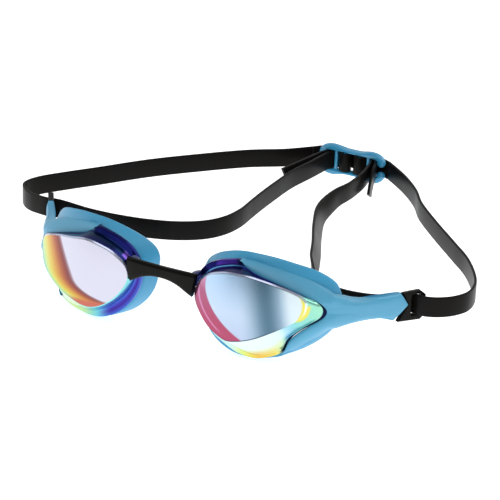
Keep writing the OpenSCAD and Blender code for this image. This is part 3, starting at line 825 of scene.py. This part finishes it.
def bridge_rings():
    """The bridge's sections from one lens wall to the other: a superellipse as high as the line says, whose
    top leans outwards by the line's lean."""
    line = np.array(BRIDGE_LINE)
    half = open_curve(line, 14)
    other = half[:0:-1] * np.array([-1, 1, 1, 1, -1])
    whole = np.vstack([other, half])
    a = np.linspace(0, 2 * np.pi, 48, endpoint=False)
    deep = squared(np.cos(a), BRIDGE_SQUARE) * BRIDGE_DEPTH / 2
    up = squared(np.sin(a), BRIDGE_SQUARE) / 2
    x = whole[:, :1] + whole[:, 4:5] * (up + 0.5)[None]
    y = whole[:, 1:2] + deep[None]
    z = whole[:, 2:3] + whole[:, 3:4] * up[None]
    return np.stack([x, y, z], axis=-1)


def wrap_route(side, sign):
    """The route of one strap end in the buckle: in beside the end bar, behind one bar, over the front of the
    next, round it, and out again behind both as the start of the free tail."""
    middle = np.array(BUCKLE[:2])
    start = np.array(ROUTES[side][0])
    tail = np.array(TAILS[side][0])
    mirror = np.array([sign, 1])

    def turn(bar, angles, radius):
        a = np.radians(angles)
        return middle + mirror * (np.array([bar, 0]) + radius * np.stack([np.cos(a), np.sin(a)], axis=1))

    first_turn = turn(BAR_MID, np.arange(-20, 161, 45), TURN_R)
    second_turn = turn(BAR_IN, np.arange(-20, -271, -50), TURN_R + 0.4)
    way_out = middle + mirror * (np.array([(0, 3.2), (2.3, 2.3), (3.4, 0), (4.3, -2.2)]) + (BAR_MID, 0))
    return open_curve(np.vstack([
        towards(start, first_turn[0], SEAM), first_turn, second_turn, way_out,
        towards(tail, way_out[3], SEAM)]), 10)


def back_route():
    """The route of the unbroken strap behind the buckle."""
    x, at = BUCKLE[0], BUCKLE[1] + BACK_LAYER
    before, after = np.array((x - 16.2, at - 2.2)), np.array((x + 11, at - 0.4))
    first, last = np.array(ROUTES["right"][-1]), np.array(ROUTES["left"][-1])
    return open_curve(np.vstack([
        towards(first, before, SEAM), before, (x - 11, at - 0.3), (x - 5, at), (x + 5, at), after,
        towards(last, after, SEAM)]), 14)


def make_buckle():
    """The ladder buckle: two rails that turn in at their ends to rounded stubs, joined by four bars."""
    c, y, z = BUCKLE
    half = np.array((
        (0.0, 5.15), (3.5, 5.2), (6.5, 5.5), (9.5, 5.75), (12.0, 5.45), (13.9, 4.5), (14.7, 3.2),
        (14.5, 2.6)))
    line = open_curve(np.vstack([half[:0:-1] * (-1, 1), half]), 14)
    away = np.abs(line[:, 0])
    wide = 0.75 + 0.7 * smooth_step(3, 9.5, away)
    deep = 2.3 - 0.6 * smooth_step(4, 10, away)
    parts = []
    for up in (1, -1):
        path = np.stack([c + line[:, 0], y + 0.5 * smooth_step(10, 4, away), z + up * line[:, 1]], axis=1)
        parts.append(swept_tube("rail", path, wide, deep, power=3.0))
        for side in (-1, 1):
            lat = np.linspace(-np.pi / 2, np.pi / 2, 20)[1:-1, None]
            lon = np.linspace(0, 2 * np.pi, 32, endpoint=False)[None, :]
            knob = np.stack([
                c + side * BAR_END + KNOB[0] * np.cos(lat) * np.cos(lon),
                y + KNOB[1] * np.cos(lat) * np.sin(lon),
                z + up * KNOB_UP + KNOB[2] * np.sin(lat) + 0 * lon], axis=-1)
            parts.append(ring_piece("knob", knob))
    for x in (-BAR_MID, -BAR_IN, BAR_IN, BAR_MID):
        height = z + np.linspace(-BAR_REACH, BAR_REACH, 30)
        path = np.stack([np.full(30, c + x), np.full(30, y), height], axis=1)
        parts.append(swept_tube("bar", path, *BAR_HALF, power=2.2))
    return join_solid("ladder_buckle", parts, 0.00016, 5)


def join_solid(name, parts, voxel, passes):
    """Several closed shells made one skin by a voxel remesh, then smoothed."""
    first = parts[0]
    with bpy.context.temp_override(active_object=first, selected_editable_objects=parts):
        bpy.ops.object.join()
    first.name = first.data.name = name
    skin = first.modifiers.new("skin", "REMESH")
    skin.mode = "VOXEL"
    skin.voxel_size = voxel
    skin.use_smooth_shade = True
    soft = first.modifiers.new("soft", "SMOOTH")
    soft.factor = 0.5
    soft.iterations = passes
    graph = bpy.context.evaluated_depsgraph_get()
    mesh = bpy.data.meshes.new_from_object(first.evaluated_get(graph))
    first.modifiers.clear()
    first.data = mesh
    mesh.name = name
    return first


# ---- Sizes and colours ----

class GogglesSettings(bpy.types.PropertyGroup):
    """Sizes and colours of the goggles."""
    strap_width: FloatProperty(
        name="Strap width", description="Width of the flat strap", default=0.0084, unit="LENGTH")
    strap_thickness: FloatProperty(
        name="Strap thickness", description="Thickness of the flat strap", default=0.0012, unit="LENGTH")
    gasket_colour: FloatVectorProperty(
        name="Gasket", description="Colour of the soft gaskets", subtype="COLOR", default=(0.048, 0.34, 0.58))
    frame_colour: FloatVectorProperty(
        name="Frame", description="Colour of the forks and temple arms", subtype="COLOR",
        default=(0.09, 0.38, 0.59))
    buckle_colour: FloatVectorProperty(
        name="Buckle", description="Colour of the buckle", subtype="COLOR", default=(0.04, 0.33, 0.58))
    strap_colour: FloatVectorProperty(
        name="Strap", description="Colour of the strap", subtype="COLOR", default=(0.0060, 0.0052, 0.0048))
    bridge_colour: FloatVectorProperty(
        name="Bridge and clips", description="Colour of the bridge and the clips", subtype="COLOR",
        default=(0.005, 0.0045, 0.004))
    lug_colour: FloatVectorProperty(
        name="Lens lug", description="Colour of the lugs on the lenses", subtype="COLOR",
        default=(0.01, 0.02, 0.12))
    floor_colour: FloatVectorProperty(
        name="Floor", description="Colour of the floor", subtype="COLOR", default=(0.9, 0.9, 0.9))


def settings():
    """The goggles' sizes and colours."""
    return bpy.context.scene.goggles


def finish(piece, material, body=None, nodes=()):
    """Gives a piece its material, its body and the nodes that it stands for."""
    piece.data.materials.clear()
    piece.data.materials.append(material)
    if body:
        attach(piece, body)
    if nodes:
        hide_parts(*nodes)


class LensOperator(bpy.types.Operator):
    """Makes the two mirrored lenses"""
    bl_idname = "goggles.lenses"
    bl_label = "Lenses"

    def execute(self, context):
        material = coated_material("mirror_coating")
        for side, sign in SIDES:
            finish(make_lens(side, sign), material, side + "_cup", [side + "_lens"])
        return {"FINISHED"}


class LugOperator(bpy.types.Operator):
    """Makes the small lugs on the lenses above the bridge"""
    bl_idname = "goggles.lugs"
    bl_label = "Lens lugs"

    def execute(self, context):
        material = plain_material("lug_gloss", settings().lug_colour, 0.12, 0.6, 0.5)
        for side, sign in SIDES:
            finish(make_lug(side, sign), material, side + "_cup")
        return {"FINISHED"}


class GasketOperator(bpy.types.Operator):
    """Makes the two soft gaskets"""
    bl_idname = "goggles.gaskets"
    bl_label = "Gaskets"

    def execute(self, context):
        material = grain(plain_material("soft_silicone", settings().gasket_colour, 0.38, 0.5), 900, 0.06)
        for side, sign in SIDES:
            finish(make_gasket(side, sign), material, side + "_cup", [side + "_gasket"])
        return {"FINISHED"}


class FrameOperator(bpy.types.Operator):
    """Makes the forks and temple arms"""
    bl_idname = "goggles.frames"
    bl_label = "Frames"

    def execute(self, context):
        material = grain(plain_material("satin_frame", settings().frame_colour, 0.38, 0.45), 1200, 0.05)
        for side, sign in SIDES:
            finish(make_frame(side, sign), material, side + "_cup", [side + "_frame"])
        return {"FINISHED"}


class ClipOperator(bpy.types.Operator):
    """Makes the strap clips at the ends of the arms"""
    bl_idname = "goggles.clips"
    bl_label = "Strap clips"

    def execute(self, context):
        material = plain_material("clip_gloss", settings().bridge_colour, 0.3, 0.1)
        for side, sign in SIDES:
            finish(make_clip(side, sign), material, side + "_cup", [side + "_strap_clip"])
        return {"FINISHED"}


class BridgeOperator(bpy.types.Operator):
    """Makes the nose bridge"""
    bl_idname = "goggles.bridge"
    bl_label = "Nose bridge"

    def execute(self, context):
        material = plain_material("bridge_gloss", settings().bridge_colour, 0.16, 0.1)
        finish(ring_piece("glossy_bridge", bridge_rings()), material, "bridge", ["nose_bridge"])
        return {"FINISHED"}


class BuckleOperator(bpy.types.Operator):
    """Makes the ladder buckle"""
    bl_idname = "goggles.buckle"
    bl_label = "Buckle"

    def execute(self, context):
        material = plain_material("buckle_gloss", settings().buckle_colour, 0.25, 0.55, 0.3)
        finish(make_buckle(), material, "buckle", ["buckle"])
        return {"FINISHED"}


class StrapOperator(bpy.types.Operator):
    """Makes the strap: loops, strands, its pass behind the buckle, its wraps and its free tails"""
    bl_idname = "goggles.strap"
    bl_label = "Strap"

    def execute(self, context):
        s = settings()
        material = grain(plain_material("strap_silicone", s.strap_colour, 0.36, 0.09), 1500, 0.10)
        wide, thick = s.strap_width / MM, s.strap_thickness / MM
        for side, sign in SIDES:
            route = open_curve(ROUTES[side], STRAP_STEPS)
            first, last = (cut * STRAP_STEPS for cut in CUTS[side])
            spans = {
                "loop": (route[first:last + 1], "bridge", "strap", 52, 76),
                "inner_strand": (route[:first + 1], "strap", "buckle", 90, 165),
                "outer_strand": (route[last:], "strap", "buckle", 90, 165)}
            for part, (path, near, far, start, end) in spans.items():
                node = side + ("_strap_" if part == "loop" else "_") + part
                away = np.linalg.norm(path - np.array(SLOT[:2]) * (sign, 1), axis=1)
                lift = SLOT_RISE * bump(away, 0, 12) if side == "right" else 0.0
                lean = 0.0
                if side == "left" and part != "outer_strand":
                    lean = LEFT_LEAN * smooth_step(52, 66, path[:, 1]) * smooth_step(142, 118, path[:, 1])
                    lean = lean * smooth_step(60, 50, path[:, 0])
                piece = upright_band(side + "_band_" + part, path, wide, thick, lift, lean)
                finish(piece, material, None, [node])
                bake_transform(piece)
            piece = upright_band(side + "_band_wrap", wrap_route(side, sign), wide, thick)
            finish(piece, material, "buckle", [side + "_strap_wrap"])
            piece = tail_band(
                side + "_band_tail", TAILS[side], TAIL_BEND[side], TAIL_SLOPE[side], wide, thick)
            finish(piece, material, None, [side + "_strap_tail"])
            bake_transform(piece)
        piece = upright_band("band_back_pass", back_route(), wide, thick)
        finish(piece, material, "buckle", ["strap_back_pass"])
        return {"FINISHED"}


def soft_light(name, place, power):
    """A square studio light that faces the goggles."""
    lamp = bpy.data.lights.new(name, "AREA")
    lamp.size, lamp.energy = LIGHT_SIZE, power
    light = bpy.data.objects.new(name, lamp)
    light.location = place
    light.rotation_euler = (Vector(LIGHT_TARGET) - Vector(place)).to_track_quat("-Z", "Y").to_euler()
    bpy.context.scene.collection.objects.link(light)
    return light


class StageOperator(bpy.types.Operator):
    """Makes the floor, the studio light and the camera"""
    bl_idname = "goggles.stage"
    bl_label = "Stage"

    def execute(self, context):
        scene = context.scene
        bpy.ops.mesh.primitive_plane_add(size=FLOOR_SIZE, location=(0, 0, FLOOR_Z))
        floor = context.object
        floor.name = "floor"
        white = plain_material("floor_white", settings().floor_colour, 0.9, 0.1)
        surface = white.node_tree.nodes["Principled BSDF"]
        surface.inputs["Emission Color"].default_value = (1, 1, 1, 1)
        surface.inputs["Emission Strength"].default_value = FLOOR_GLOW
        floor.data.materials.append(white)
        key, rim, fill = (soft_light(*light) for light in LIGHTS)
        world = bpy.data.worlds.new("studio")
        world.use_nodes = True
        nodes, links = world.node_tree.nodes, world.node_tree.links
        way, split = nodes.new("ShaderNodeTexCoord"), nodes.new("ShaderNodeSeparateXYZ")
        spread = nodes.new("ShaderNodeMapRange")
        spread.inputs["From Min"].default_value = -1
        spread.inputs["To Min"].default_value = SKY_FRONT
        spread.inputs["To Max"].default_value = SKY_BACK
        links.new(way.outputs["Generated"], split.inputs["Vector"])
        links.new(split.outputs["Y"], spread.inputs["Value"])
        links.new(spread.outputs["Result"], nodes["Background"].inputs["Strength"])
        nodes["Background"].inputs["Color"].default_value = (1, 1, 1, 1)
        scene.world = world
        scene.view_settings.view_transform = "Standard"
        self.place_camera(scene)
        return {"FINISHED"}

    @staticmethod
    def place_camera(scene):
        """The camera stands on a sphere round its target and is rolled a little about its own axis."""
        azimuth, elevation, roll = np.radians(CAMERA_TURN)
        level = np.cos(elevation)
        back = Vector((np.sin(azimuth) * level, -np.cos(azimuth) * level, np.sin(elevation)))
        right = Vector((np.cos(azimuth), np.sin(azimuth), 0))
        up = back.cross(right)
        right, up = right * np.cos(roll) + up * np.sin(roll), up * np.cos(roll) - right * np.sin(roll)
        place = Vector(CAMERA_TARGET) + back * CAMERA_DISTANCE
        data = bpy.data.cameras.new("camera")
        data.lens, data.sensor_width = CAMERA_LENS, CAMERA_SENSOR
        data.clip_start, data.clip_end = 0.01, 20
        camera = bpy.data.objects.new("camera", data)
        camera.matrix_world = Matrix.Translation(place) @ Matrix((right, up, back)).transposed().to_4x4()
        scene.collection.objects.link(camera)
        scene.camera = camera


OPERATORS = (
    LensOperator, LugOperator, GasketOperator, FrameOperator, ClipOperator, BridgeOperator, BuckleOperator,
    StrapOperator, StageOperator)


class GogglesPanel(bpy.types.Panel):
    """Lists the pieces of the goggles"""
    bl_idname = "VIEW3D_PT_goggles"
    bl_label = "Swim goggles"
    bl_space_type = "VIEW_3D"
    bl_region_type = "UI"
    bl_category = "Goggles"

    def draw(self, context):
        for name in GogglesSettings.__annotations__:
            self.layout.prop(context.scene.goggles, name)
        for operator in OPERATORS:
            self.layout.operator(operator.bl_idname)


def register():
    """Adds the settings, the operators and the panel to Blender."""
    for cls in (GogglesSettings, *OPERATORS, GogglesPanel):
        bpy.utils.register_class(cls)
    bpy.types.Scene.goggles = PointerProperty(type=GogglesSettings)


def unregister():
    """Takes the panel, the operators and the settings out again."""
    del bpy.types.Scene.goggles
    for cls in (GogglesPanel, *reversed(OPERATORS), GogglesSettings):
        bpy.utils.unregister_class(cls)


def main():
    """Makes every piece in order."""
    register()
    for name in ("lenses", "lugs", "gaskets", "frames", "clips", "bridge", "buckle", "strap", "stage"):
        getattr(bpy.ops.goggles, name)()


if __name__ == "__main__":
    main()
